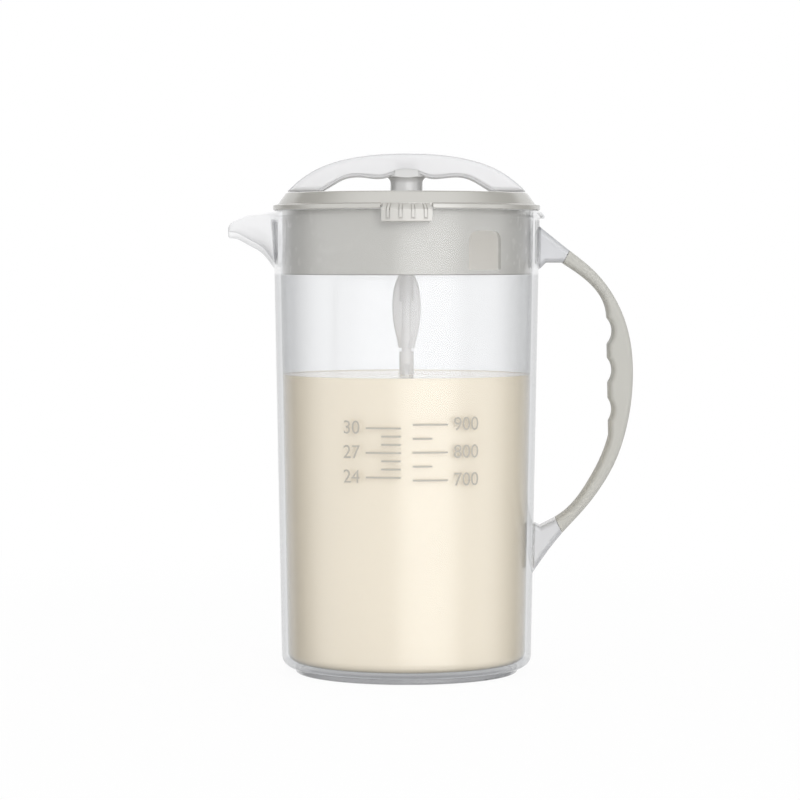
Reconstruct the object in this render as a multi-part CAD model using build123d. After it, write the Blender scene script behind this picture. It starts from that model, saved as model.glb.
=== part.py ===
from build123d import *
import math
import os

# All sizes in millimetres. Frame: origin on the jug's axis at the plane it stands on,
# +Z up, -X towards the spout, +X towards the side handle, -Y towards the latch.

SMALL_ROUND = 0.6
FINE_ROUND = 0.4
OVERRUN = 1.0  # how far a cut or a joined piece runs past the face it meets
NEAR = 0.01

# Jug
RIM_Z = 200.5  # height of the jug's rim
RIM_R = 57.85  # outer radius of the wall at the rim
DRAFT = 3.6  # how much the wall's radius grows from the standing plane to the rim
BASE_R = RIM_R - DRAFT
WALL = 2.7
HEEL_R = 5.0  # round between the wall and the underside
FOOT_INSET = 5.85  # foot ring, inside the wall
FOOT_R = BASE_R - FOOT_INSET
FOOT_H = 2.3
FOOT_W = 2.4
FOOT_ROUND = 0.7
FLOOR = 2.5
FLOOR_Z = FOOT_H + FLOOR  # inner floor
FLOOR_ROUND = 4.0
BEAD_OUT = 2.05  # how far the rim bead stands out of the wall
BEAD_LAND = 1.2  # height of its upright face
BEAD_DROP = 3.3  # its lower edge, below the rim
RIM_ROUND = 0.3  # small rounds of the rim and its bead

# Spout
SPOUT_HALF_W = 14.0  # half width where it leaves the wall
SPOUT_WALL = 1.9
# Along the spout: reach past the rim radius, top and underside below the rim, share of width
SPOUT_STATIONS = (
    (-5.3, 0.6, 38.0, 1.08),
    (-0.7, 0.7, 25.5, 1.0),
    (2.7, 1.1, 20.8, 0.92),
    (6.2, 1.6, 17.4, 0.81),
    (10.2, 2.1, 15.2, 0.67),
    (14.2, 3.3, 12.9, 0.51),
    (17.3, 4.7, 11.9, 0.37),
    (19.5, 7.7, 11.1, 0.2),
)
SPOUT_FLOOR_RISE = 2.6  # trough floor above the underside

# Side handle: (reach past the rim radius, drop below the rim)
HANDLE_W = 16.0
HANDLE_OUTER = (
    (-8.0, 0.8),
    (0.2, 7.2),
    (12.6, 17.1),
    (22.5, 25.1),
    (30.6, 34.8),
    (36.3, 46.1),
    (39.5, 58.7),
    (40.3, 71.4),
    (39.4, 84.1),
    (36.9, 96.7),
    (32.6, 109.0),
    (26.3, 120.1),
    (18.5, 130.2),
    (9.6, 139.9),
    (-2.8, 156.6),
    (-8.0, 164.5),
)
GAP_TOP = ((9.7, 22.5), (19.3, 29.1), (26.5, 36.9), (29.3, 47.0))
GAP_BOTTOM = ((30.3, 97.6), (27.1, 107.0), (21.9, 117.0), (15.3, 126.6), (6.8, 133.7))
UPPER_ROOT = ((2.5, 22.5), (-0.5, 25.4))  # underside of the upper root, and its web to the wall
LOWER_ROOT = ((0.4, 137.0), (-2.2, 135.7))
HANDLE_CENTRE = (
    (2.0, 12.2),
    (11.2, 19.2),
    (21.0, 27.1),
    (28.7, 36.1),
    (33.4, 46.2),
    (35.5, 58.6),
    (36.0, 71.5),
    (35.3, 84.3),
    (33.5, 96.8),
    (29.9, 108.0),
    (24.0, 118.6),
    (16.9, 128.4),
    (8.3, 137.0),
    (1.2, 143.4),
)
HANDLE_EDGE_R = 2.2  # rounds along the handle's edges
SEAM_GAP = 0.2  # witness line where the soft grip meets the hard roots
SEAM_TOP = (HANDLE_OUTER[2], GAP_TOP[0])
SEAM_BOTTOM = (HANDLE_OUTER[-3], GAP_BOTTOM[-1])
CORE_W = 9.0  # hard spine inside the soft grip
CORE_T = 2.6
BOND = 0.05
FINGERS = 3
FINGER_PITCH = 17.1
FINGER_DEPTH = 2.3  # of a scallop, at the top of the gap's straight edge
FINGER_REACH = GAP_TOP[-1][0] + FINGER_DEPTH
FINGER_R = 8.4
FINGER_TOP_DROP = 52.2
LAND_ROUND = 1.6  # between a scallop and the land beside it

# Contents
FILL_DROP = 71.1  # surface of the contents, below the rim
FILL_Z = RIM_Z - FILL_DROP
FILL_CLEAR = 0.1
SWEEP_CLEAR = 0.5  # open column round the paddle

# Lid cap
LID_GAP = 0.3  # between the cap's flange and the rim
FLANGE_Z = RIM_Z + LID_GAP  # underside of the flange
FLANGE_OUT = 0.15  # flange past the rim radius
FLANGE_R = RIM_R + FLANGE_OUT
FLANGE_H = 2.0
CAP_H = 7.5  # from the flange's underside to the deck
DECK_Z = FLANGE_Z + CAP_H
FLANGE_LEDGE = 2.2
SLOPE_R = FLANGE_R - FLANGE_LEDGE  # foot of the cap's sloping edge
SLOPE_RUN = 3.6
DECK_R = SLOPE_R - SLOPE_RUN
SLOPE_RISE = 0.5  # foot of the slope above the flange
DECK_ROUND = 1.4
CAP_WALL = 2.2
ROOM_Z = DECK_Z - CAP_WALL  # underside of the deck
POST_R = 6.95
RUNNING = 0.05  # radial clearance of the post in its hub
HUB_WALL = 3.5
HUB_R = POST_R + RUNNING + HUB_WALL
HUB_DROP = 16.0  # hub's lower end, below the deck
BODY_CLEAR = 0.3  # between curved faces on different bodies

# Stopper collar
COLLAR_GAP = 1.25  # between the collar and the bore, at the rim
COLLAR_R = RIM_R - WALL - COLLAR_GAP
COLLAR_WALL = 2.2
COLLAR_DROP = 27.9  # its lower end, below the flange
COLLAR_BOTTOM_Z = FLANGE_Z - COLLAR_DROP
COLLAR_TOP_Z = FLANGE_Z + FLANGE_H
SNAP = 0.1  # collar in the cap
WINDOW_AZIMUTH = 38.3  # from the latch towards the handle, degrees
WINDOW_W = 17.7
WINDOW_H = 16.6
WINDOW_SILL = 2.2
WINDOW_BOTTOM_Z = COLLAR_BOTTOM_Z + WINDOW_SILL
WINDOW_ROUND = 4.6

# Lid seal, a gasket on the rim in a groove of the flange
SEAL_SEAT = 0.05  # between the gasket and the rim
SEAL_Z = RIM_Z + SEAL_SEAT
SEAL_H = 1.0
SEAL_INSET = 0.5  # from the bore at the rim
SEAL_W = 1.5
SEAL_IN_R = RIM_R - WALL + SEAL_INSET
SEAL_OUT_R = SEAL_IN_R + SEAL_W
GROOVE_IN_R = SEAL_IN_R - BODY_CLEAR
GROOVE_OUT_R = SEAL_OUT_R + BODY_CLEAR
GROOVE_Z = SEAL_Z + SEAL_H + BODY_CLEAR

# Latch tab
TAB_ROOT_OUT = 0.5
TAB_ROOT_R = SLOPE_R + TAB_ROOT_OUT
TAB_ANGLE = 19.8
TAB_SLIT = 1.2
TAB_ROOT_DROP = 0.3  # its root, below the foot of the cap's slope
TAB_REACH = 5.7  # its lower end, below the flange
TAB_BOTTOM_Z = FLANGE_Z - TAB_REACH
TAB_T = 1.6
TAB_IN_R = RIM_R + BEAD_OUT + BODY_CLEAR
TAB_OUT_R = TAB_IN_R + TAB_T
TAB_BEND_DROP = 2.4  # from the root down to the bend
TAB_CORNER = 1.0
TAB_ROUND = 0.8  # at the bend
RIBS = 4
RIB_PITCH = 5.25
RIB_W = 1.0
RIB_OUT = 0.45
RELIEF_W = 0.4  # groove round a rib
RELIEF_DEPTH = 0.45
RIB_FOOT_RISE = 1.6  # foot of a rib, above the tab's lower end
RIB_ROOT_T = 1.0  # how thick a rib is where it sinks into the tab

# Lid handle, an arch
ARCH_RISE = 16.9  # its top, above the deck
ARCH_TOP_Z = DECK_Z + ARCH_RISE
ARCH_CLEAR = 0.6  # between its feet and the deck
ARCH_FOOT = ARCH_RISE - ARCH_CLEAR
ARCH_W = 17.0
# Outer outline: (half span, drop below the top) over the post, (inset from the deck's edge,
# drop) out to the foot. Underside, from the foot in: the same
ARCH_TOP = ((0.0, 0.0), (16.0, 0.75))
ARCH_SHOULDER = ((24.8, 2.7), (14.9, 6.0), (6.5, 11.1), (0.8, ARCH_FOOT))
ARCH_UNDER = ((15.7, ARCH_FOOT), (20.7, 13.3), (25.8, 10.8), (32.2, 10.1))
ARCH_HUMP = ((12.6, 10.8), (9.2, 10.4), (5.2, 9.0), (0.0, 8.3))
LIP_H = 1.6  # band along its underside that lies back from the flat sides
LIP_INSET = 0.8
LIP_RUN = 2.8  # where the band runs out at the feet
ARCH_ROUND = 2.0

# Drive post
FLARE_R = 2.6  # concave round below the post's head
HEAD_DROP = 10.0  # where the round meets the head, below the arch's top
HEAD_INSET = 0.3  # head's flats, behind the arch's flat sides
SPIGOT_R = 4.5
SPIGOT_TOP_DROP = 3.6
STEM_R = 2.1
STEM_FLAT = 1.6  # half the width across the stem's flats
STEM_L = 29.0  # below the keeper's upper face
KEEPER_Z = DECK_Z - HUB_DROP - BODY_CLEAR  # keeper's upper face, just below the hub
STEM_BOTTOM_Z = KEEPER_Z - STEM_L

# Post seal
RING_W = 1.5
RING_OUT_R = POST_R + RUNNING + RING_W
RING_H = 1.8
RING_DROP = 9.3  # its middle, below the deck
RING_Z = DECK_Z - RING_DROP

# Mixing paddle
SOCKET_CLEAR = 0.1
SOCKET_WALL = 1.1
SOCKET_R = STEM_R + SOCKET_CLEAR + SOCKET_WALL
SOCKET_END = 1.7  # solid below the stem
SOCKET_BOTTOM_Z = STEM_BOTTOM_Z - SOCKET_END
KEEPER_OUT = 2.65  # flange that keeps the post from lifting out of the hub
KEEPER_R = POST_R + KEEPER_OUT
KEEPER_T = 1.6
UPPER_ROD_R = 2.35
LOWER_ROD_R = 3.1
NECK_R = 2.1
BLADE_T = 2.6
BLADE_ROUND = 1.04
BLADE_HALF_W = 6.15
BLADE_RISE = 17.1  # top of the first blade, above the socket's lower end
BLADE_TOP_Z = SOCKET_BOTTOM_Z + BLADE_RISE
NOTCH = 1.6
BLADES = 4
ROD_CLEAR = 7.2  # between the rod and the inner floor
ROD_BOTTOM_Z = FLOOR_Z + ROD_CLEAR
ROD_TIP = 12.0  # rod below the last blade
BLADE_L = (BLADE_TOP_Z - ROD_BOTTOM_Z - ROD_TIP + NOTCH) / BLADES - NOTCH
# One blade from its top down: share of its length, share of its half width, twist in degrees
BLADE_SHAPE = (
    (0.0, 0.47, 0.0),
    (0.18, 0.62, 0.0),
    (0.28, 0.85, 0.0),
    (0.38, 0.96, 0.0),
    (0.52, 1.0, 0.0),
    (0.66, 0.96, -2.0),
    (0.80, 0.82, -9.0),
    (0.90, 0.71, -24.0),
    (1.0, 0.68, -45.0),
)


def wall_radius(z):
    """Outer radius of the drafted wall at height z."""
    return BASE_R + (RIM_R - BASE_R) * z / RIM_Z


def bore_radius(z):
    """Inner radius of the drafted wall at height z."""
    return wall_radius(z) - WALL


def at_rim(reach, drop):
    """(x, z) of a point given by its reach past the rim radius and its drop below the rim."""
    return (RIM_R + reach, RIM_Z - drop)


def profile(corners):
    """Face in the XZ plane from (x, z) or (x, z, round) corners."""
    face = Sketch() + make_face(Polyline(*[corner[:2] for corner in corners], close=True))
    for corner in corners:
        if len(corner) == 3:
            vertex = face.vertices().sort_by_distance((corner[0], corner[1], 0))[0]
            face = fillet(vertex, corner[2])
    return Plane.XZ * face


def turned(corners):
    """Solid of revolution about Z from (radius, height) corners."""
    return revolve(profile(corners), Axis.Z)


def slab(face, width):
    """A face in the XZ plane, extruded by half the width each way along Y."""
    return extrude(face, amount=width / 2, both=True)


def rod(radius, low_z, high_z):
    """Upright cylinder on the axis."""
    on_base = (Align.CENTER, Align.CENTER, Align.MIN)
    return Pos(0, 0, low_z) * Cylinder(radius, high_z - low_z, align=on_base)


# ---- Jug ----
def cavity():
    """Space inside the jug, open at the rim and above it."""
    top = RIM_Z + OVERRUN
    return turned(
        [
            (0, FLOOR_Z),
            (bore_radius(FLOOR_Z), FLOOR_Z, FLOOR_ROUND),
            (bore_radius(top), top),
            (0, top),
        ]
    )


def jug_outside():
    """Outer form of the wall, with its heel and rim bead, as a full solid."""
    bead_r = RIM_R + BEAD_OUT
    bead_low = RIM_Z - BEAD_DROP
    return turned(
        [
            (0, FOOT_H),
            (wall_radius(FOOT_H), FOOT_H, HEEL_R),
            (wall_radius(bead_low), bead_low),
            (bead_r, bead_low, RIM_ROUND),
            (bead_r, bead_low + BEAD_LAND, RIM_ROUND),
            (RIM_R, RIM_Z, RIM_ROUND),
            (0, RIM_Z),
        ]
    )


def foot_ring():
    """Ring that the jug stands on."""
    return turned(
        [
            (FOOT_R - FOOT_W, 0, FOOT_ROUND),
            (FOOT_R, 0, FOOT_ROUND),
            (FOOT_R, FOOT_H + OVERRUN),
            (FOOT_R - FOOT_W, FOOT_H + OVERRUN),
        ]
    )


def scoop_section(x, top, bottom, half_width):
    """U-shaped face across the spout: flat top, straight sides, half-round bottom."""
    low = bottom + half_width
    plane = Plane(origin=(x, 0, 0), x_dir=(0, 1, 0), z_dir=(1, 0, 0))
    outline = Curve() + [
        Line((-half_width, low), (-half_width, top)),
        Line((-half_width, top), (half_width, top)),
        Line((half_width, top), (half_width, low)),
        ThreePointArc((half_width, low), (0, bottom), (-half_width, low)),
    ]
    return plane * make_face(outline)


def spout_outside():
    """Outer form of the spout, as a full solid."""
    faces = []
    for reach, top, under, share in SPOUT_STATIONS:
        half = SPOUT_HALF_W * share
        faces.append(scoop_section(-RIM_R - reach, RIM_Z - top, RIM_Z - under, half))
    return loft(faces)


def spout_channel():
    """Way out through the wall and along the spout, open at the top."""
    faces = []
    for reach, _, under, share in SPOUT_STATIONS:
        half = SPOUT_HALF_W * share - SPOUT_WALL
        floor = RIM_Z - under + SPOUT_FLOOR_RISE
        faces.append(scoop_section(-RIM_R - reach, RIM_Z + OVERRUN, floor, half))
    return loft(faces)


def handle_gap():
    """Finger space of the side handle, with the scallops still to be cut."""
    inside = HANDLE_OUTER[0][0]
    start = [(inside, UPPER_ROOT[1][1]), UPPER_ROOT[1], UPPER_ROOT[0], GAP_TOP[0]]
    end = [GAP_BOTTOM[-1], LOWER_ROOT[0], LOWER_ROOT[1], (inside, LOWER_ROOT[1][1])]
    outline = Curve() + [
        Polyline(*[at_rim(*point) for point in start]),
        Spline(*[at_rim(*point) for point in GAP_TOP]),
        Line(at_rim(*GAP_TOP[-1]), at_rim(*GAP_BOTTOM[0])),
        Spline(*[at_rim(*point) for point in GAP_BOTTOM]),
        Polyline(*[at_rim(*point) for point in end]),
        Line(at_rim(*end[-1]), at_rim(*start[0])),
    ]
    return Sketch() + make_face(outline)


def finger_scallops():
    """Discs that bite the scallops out of the grip's inner edge."""
    discs = Sketch()
    for finger in range(FINGERS):
        drop = FINGER_TOP_DROP + finger * FINGER_PITCH
        discs += Pos(*at_rim(FINGER_REACH - FINGER_R, drop)) * Circle(FINGER_R)
    return discs


def handle_outline():
    """Whole side handle, roots and grip together, before it is parted at the seams."""
    edge = [at_rim(*point) for point in HANDLE_OUTER]
    blank = Sketch() + make_face(Curve() + [Spline(*edge), Line(edge[-1], edge[0])])
    gap = handle_gap()
    scallops = finger_scallops()
    face = blank - gap - scallops
    on_gap = [corner for corner in face.vertices() if corner.distance_to(gap) < NEAR]
    return fillet([corner for corner in on_gap if corner.distance_to(scallops) < NEAR], LAND_ROUND)


def long_edges(solid):
    """Edges round the handle's two flat sides, outside the jug's bore."""
    flats = solid.faces().filter_by(Plane.XZ)
    return [edge for edge in flats.edges() if edge.position_at(0.5).X > bore_radius(0)]


def handle_blank():
    """Whole side handle with its long edges rounded."""
    solid = slab(Plane.XZ * handle_outline(), HANDLE_W)
    return fillet(long_edges(solid), HANDLE_EDGE_R)


def beyond_seams(setback):
    """Block that holds what lies beyond both seams, set back from them."""
    corners = []
    for (outer, inner), side in ((SEAM_TOP, 1), (SEAM_BOTTOM, -1)):
        out_x, out_z = at_rim(*outer)
        in_x, in_z = at_rim(*inner)
        length = math.hypot(out_x - in_x, out_z - in_z)
        along_x = (out_x - in_x) / length
        along_z = (out_z - in_z) / length
        shift_x = side * along_z * setback
        shift_z = -side * along_x * setback
        reach = HANDLE_W
        ends = [
            (in_x - reach / 4 * along_x + shift_x, in_z - reach / 4 * along_z + shift_z),
            (out_x + reach * along_x + shift_x, out_z + reach * along_z + shift_z),
        ]
        corners += ends if side > 0 else ends[::-1]
    far = RIM_R + 3 * HANDLE_W
    corners[2:2] = [(far, corners[1][1]), (far, corners[2][1])]
    return slab(profile(corners), 2 * HANDLE_W)


def handle_core(clearance):
    """Hard spine through the soft grip, root to root."""
    path = Plane.XZ * Spline(*[at_rim(*point) for point in HANDLE_CENTRE])
    across = Plane(origin=path @ 0, z_dir=path % 0, x_dir=(0, 1, 0))
    outline = RectangleRounded(CORE_W + 2 * clearance, CORE_T + 2 * clearance, CORE_T / 3)
    return sweep(across * outline, path)


def pitcher_body():
    """Clear moulding: wall, floor, foot, rim bead, spout, handle roots and spine."""
    body = jug_outside() + foot_ring() + spout_outside()
    body += handle_blank() - beyond_seams(0)
    body += handle_core(0)
    return body - cavity() - spout_channel()


def handle_grip():
    """Soft overmould between the two seams, round the hard spine."""
    return (handle_blank() & beyond_seams(SEAM_GAP)) - handle_core(BOND)


def formula_fill():
    """Contents, with an open column where the paddle turns."""
    floor = FLOOR_Z + FILL_CLEAR
    milk = turned(
        [
            (0, floor),
            (bore_radius(floor) - FILL_CLEAR, floor, FLOOR_ROUND),
            (bore_radius(FILL_Z) - FILL_CLEAR, FILL_Z),
            (0, FILL_Z),
        ]
    )
    return milk - rod(BLADE_HALF_W + SWEEP_CLEAR, ROD_BOTTOM_Z - SWEEP_CLEAR, FILL_Z + OVERRUN)


# ---- Lid ----
def front_sector(solid_face, angle):
    """Turns a face in the XZ plane through an angle that is centred on the -Y side."""
    return Rot(Z=-90 - angle / 2) * revolve(solid_face, Axis.Z, revolution_arc=angle)


def latch_notch():
    """Space for the latch tab in the cap's flange, with a slit on each side."""
    inner_r = TAB_ROOT_R - BODY_CLEAR
    outer_r = TAB_OUT_R + OVERRUN
    low_z = FLANGE_Z - OVERRUN
    face = profile([(inner_r, low_z), (outer_r, low_z), (outer_r, DECK_Z), (inner_r, DECK_Z)])
    return front_sector(face, TAB_ANGLE + 2 * math.degrees(TAB_SLIT / TAB_OUT_R))


def lid_cap():
    """Cap with a sloping edge, a flange over the rim and a hub for the post."""
    cap = turned(
        [
            (0, ROOM_Z),
            (DECK_R - CAP_WALL, ROOM_Z),
            (COLLAR_R + SNAP, COLLAR_TOP_Z + SNAP),
            (COLLAR_R + SNAP, FLANGE_Z),
            (GROOVE_IN_R, FLANGE_Z),
            (GROOVE_IN_R, GROOVE_Z),
            (GROOVE_OUT_R, GROOVE_Z),
            (GROOVE_OUT_R, FLANGE_Z),
            (FLANGE_R, FLANGE_Z, FINE_ROUND),
            (FLANGE_R, FLANGE_Z + FLANGE_H, FINE_ROUND),
            (SLOPE_R, FLANGE_Z + FLANGE_H + SLOPE_RISE),
            (DECK_R, DECK_Z, DECK_ROUND),
            (0, DECK_Z),
        ]
    )
    cap += rod(HUB_R, DECK_Z - HUB_DROP, ROOM_Z + OVERRUN)
    cap -= rod(POST_R + RUNNING, DECK_Z - HUB_DROP - OVERRUN, DECK_Z + OVERRUN)
    cap -= rod(RING_OUT_R, RING_Z - RING_H / 2, RING_Z + RING_H / 2)
    return cap - latch_notch()


def latch_tab():
    """Ribbed finger that reaches down over the rim bead."""
    root_z = FLANGE_Z + FLANGE_H + SLOPE_RISE - TAB_ROOT_DROP
    bend_z = root_z - TAB_BEND_DROP
    side = profile(
        [
            (TAB_ROOT_R, GROOVE_Z),
            (GROOVE_OUT_R, GROOVE_Z),
            (GROOVE_OUT_R, FLANGE_Z),
            (RIM_R, FLANGE_Z),
            (TAB_IN_R, RIM_Z - BEAD_DROP + BEAD_LAND + BODY_CLEAR / 2),
            (TAB_IN_R, TAB_BOTTOM_Z, FINE_ROUND),
            (TAB_OUT_R, TAB_BOTTOM_Z, SMALL_ROUND),
            (TAB_OUT_R, bend_z, TAB_ROUND),
            (TAB_ROOT_R, root_z),
        ]
    )
    half = TAB_OUT_R * math.sin(math.radians(TAB_ANGLE / 2))
    front = profile(
        [
            (-half, TAB_BOTTOM_Z, TAB_CORNER),
            (half, TAB_BOTTOM_Z, TAB_CORNER),
            (half, DECK_Z),
            (-half, DECK_Z),
        ]
    )
    tab = front_sector(side, TAB_ANGLE) & extrude(front, amount=TAB_OUT_R + OVERRUN)
    for index in range(RIBS):
        offset = (index - (RIBS - 1) / 2) * RIB_PITCH
        tab -= rib_relief(offset, bend_z, root_z)
        tab += latch_rib(offset, bend_z, root_z)
    return tab


def rib_sector(face, offset, width):
    """Turns a face in the XZ plane into a strip on the tab, at an offset from its middle."""
    turn = math.degrees(offset / TAB_OUT_R)
    return Rot(Z=turn) * front_sector(face, math.degrees(width / TAB_OUT_R))


def rib_relief(offset, bend_z, root_z):
    """Fine groove that surrounds one rib."""
    floor_r = TAB_OUT_R - RELIEF_DEPTH
    foot_z = TAB_BOTTOM_Z + RIB_FOOT_RISE - RELIEF_W
    face = profile(
        [
            (TAB_OUT_R + OVERRUN, foot_z),
            (floor_r, foot_z),
            (floor_r, bend_z - RELIEF_DEPTH),
            (TAB_ROOT_R, root_z - RELIEF_DEPTH),
            (TAB_ROOT_R, root_z + OVERRUN),
            (TAB_OUT_R + OVERRUN, root_z + OVERRUN),
        ]
    )
    return rib_sector(face, offset, RIB_W + 2 * RELIEF_W)


def latch_rib(offset, bend_z, root_z):
    """One raised rib on the tab, from its root down to a round foot."""
    out_r = TAB_OUT_R + RIB_OUT
    root_r = TAB_ROOT_R + RIB_OUT
    foot_z = TAB_BOTTOM_Z + RIB_FOOT_RISE
    face = profile(
        [
            (TAB_OUT_R - RIB_ROOT_T, foot_z),
            (out_r, foot_z, FINE_ROUND),
            (out_r, bend_z, TAB_ROUND),
            (root_r, root_z),
            (root_r, root_z - RIB_ROOT_T),
            (TAB_OUT_R - RIB_ROOT_T, bend_z - RIB_ROOT_T),
        ]
    )
    return rib_sector(face, offset, RIB_W)


def stopper_collar():
    """Skirt inside the jug's mouth, with a window that lets the contents reach the spout."""
    collar = turned(
        [
            (COLLAR_R - COLLAR_WALL, COLLAR_BOTTOM_Z),
            (COLLAR_R, COLLAR_BOTTOM_Z, FINE_ROUND),
            (COLLAR_R, COLLAR_TOP_Z),
            (COLLAR_R - COLLAR_WALL, COLLAR_TOP_Z),
        ]
    )
    outline = Rectangle(WINDOW_W, WINDOW_H)
    outline = fillet(outline.vertices().group_by(Axis.Y)[-1], WINDOW_ROUND)
    outline = fillet(outline.vertices().group_by(Axis.Y)[0], SMALL_ROUND)
    window = Plane.XZ * Pos(0, WINDOW_BOTTOM_Z + WINDOW_H / 2) * outline
    return collar - Rot(Z=WINDOW_AZIMUTH) * extrude(window, amount=FLANGE_R)


def lid_seal():
    """Soft gasket between the rim and the flange."""
    return turned(
        [
            (SEAL_IN_R, SEAL_Z),
            (SEAL_OUT_R, SEAL_Z),
            (SEAL_OUT_R, SEAL_Z + SEAL_H),
            (SEAL_IN_R, SEAL_Z + SEAL_H),
        ]
    )


def post_seal():
    """Soft ring in the hub, round the post."""
    return turned(
        [
            (POST_R + RUNNING, RING_Z - RING_H / 2),
            (RING_OUT_R, RING_Z - RING_H / 2),
            (RING_OUT_R, RING_Z + RING_H / 2),
            (POST_R + RUNNING, RING_Z + RING_H / 2),
        ]
    )


# ---- Mixer ----
def over_post(half_span, drop):
    """(x, z) of a point given by its half span and its drop below the arch's top."""
    return (half_span, ARCH_TOP_Z - drop)


def by_edge(inset, drop):
    """(x, z) of a point given by its inset from the deck's edge and its drop."""
    return over_post(DECK_R - inset, drop)


def both_sides(points):
    """Points of a right-hand half outline, mirrored and run from left to right."""
    left = [(-x, z) for x, z in reversed(points)]
    return left + [point for point in points if point[0] > 0]


def arch_underside():
    """Points of the arch's underside from left to right, with a hump over the post."""
    hump = [over_post(*point) for point in reversed(ARCH_HUMP)]
    return both_sides(hump + [by_edge(*point) for point in reversed(ARCH_UNDER)])


def arch_outline():
    """Arch in side view."""
    shoulder = [by_edge(*point) for point in ARCH_SHOULDER]
    crown = both_sides([over_post(*point) for point in ARCH_TOP] + shoulder)
    under = arch_underside()
    outline = Curve() + [
        Spline(*crown),
        Line(crown[-1], under[-1]),
        Spline(*under),
        Line(under[0], crown[0]),
    ]
    return make_face(outline)


def lip_steps():
    """What the band along the underside lies back by, on both flat sides."""
    line = [(x, z + LIP_H) for x, z in arch_underside()]
    foot_x = line[-1][0] + LIP_RUN
    foot_z = ARCH_TOP_Z - ARCH_FOOT
    feet = [(foot_x, foot_z), (foot_x, DECK_Z), (-foot_x, DECK_Z), (-foot_x, foot_z)]
    outline = Curve() + [Spline(*line), Polyline(line[-1], *feet, line[0])]
    below = Plane.XZ * make_face(outline)
    return slab(below, ARCH_W + OVERRUN) - slab(below, ARCH_W - 2 * LIP_INSET)


def arch_blank():
    """Arch with rounded long edges and its lip, before the post's hole."""
    solid = slab(Plane.XZ * arch_outline(), ARCH_W)
    flat_sides = solid.faces().filter_by(Plane.XZ)
    return fillet(flat_sides.edges(), ARCH_ROUND) - lip_steps()


def lid_handle():
    """Arch that is turned by hand, with a blind hole for the post's spigot."""
    return arch_blank() - rod(SPIGOT_R + BOND, DECK_Z, ARCH_TOP_Z - SPIGOT_TOP_DROP + BOND)


def stem(clearance, low_z):
    """Keyed lower end of the post: a rod with two flats."""
    flats = Box(2 * (STEM_FLAT + clearance), 4 * STEM_R, 4 * DECK_Z)
    return rod(STEM_R + clearance, low_z, KEEPER_Z + OVERRUN) & flats


def drive_post():
    """Post with a concave round and a head under the arch, a spigot above and a keyed stem below."""
    head_z = ARCH_TOP_Z - HEAD_DROP
    head_r = POST_R + FLARE_R
    flats = Box(4 * head_r, ARCH_W - 2 * HEAD_INSET, 4 * DECK_Z)
    groove = revolve(Plane.XZ * Pos(head_r, head_z - FLARE_R) * Circle(FLARE_R), Axis.Z)
    head = rod(head_r, head_z - FLARE_R, ARCH_TOP_Z - ARCH_ROUND) & flats
    head = head - groove - arch_blank()
    post = rod(POST_R, KEEPER_Z, head_z) + head
    return post + rod(SPIGOT_R, head_z, ARCH_TOP_Z - SPIGOT_TOP_DROP) + stem(0, STEM_BOTTOM_Z)


def blade(top_z, yaw):
    """One leaf-shaped blade through the rod, twisting towards its lower end."""
    sections = []
    for along, share, twist in BLADE_SHAPE:
        width = 2 * BLADE_HALF_W * share
        outline = RectangleRounded(width, BLADE_T, BLADE_ROUND)
        sections.append(Pos(0, 0, top_z - along * BLADE_L) * Rot(Z=yaw + twist) * outline)
    return loft(sections)


def mixing_paddle():
    """Agitator: keeper and socket on the post's stem, then leaf blades down a rod."""
    pitch = BLADE_L + NOTCH
    paddle = rod(KEEPER_R, KEEPER_Z - KEEPER_T, KEEPER_Z)
    paddle += rod(SOCKET_R, SOCKET_BOTTOM_Z, KEEPER_Z)
    paddle += rod(UPPER_ROD_R, BLADE_TOP_Z - BLADE_L, SOCKET_BOTTOM_Z)
    paddle += rod(NECK_R, BLADE_TOP_Z - pitch - OVERRUN, BLADE_TOP_Z - BLADE_L + OVERRUN)
    paddle += rod(LOWER_ROD_R, ROD_BOTTOM_Z, BLADE_TOP_Z - pitch)
    for index in range(BLADES):
        paddle += blade(BLADE_TOP_Z - index * pitch, -90 * index)
    return paddle - stem(SOCKET_CLEAR, STEM_BOTTOM_Z - SOCKET_CLEAR)


PARTS = {
    "pitcher_body": pitcher_body,
    "handle_grip": handle_grip,
    "formula_fill": formula_fill,
    "lid_seal": lid_seal,
    "lid_cap": lid_cap,
    "stopper_collar": stopper_collar,
    "post_seal": post_seal,
    "latch_tab": latch_tab,
    "lid_handle": lid_handle,
    "drive_post": drive_post,
    "mixing_paddle": mixing_paddle,
}

os.makedirs("parts", exist_ok=True)
for name, make in PARTS.items():
    export_step(make(), f"parts/{name}.step")
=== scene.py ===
"""Looks of the baby formula pitcher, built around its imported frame.

The solids of the frame keep their places and shapes and are given finishes here.
The contents are replaced by a liquid with a meniscus, a fill scale is printed on
the wall, and the studio and the camera are set up.  All sizes are in metres.
"""

import logging
import math
from collections.abc import Iterable, Sequence
from dataclasses import dataclass, field
from enum import Enum
from typing import Union

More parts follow.
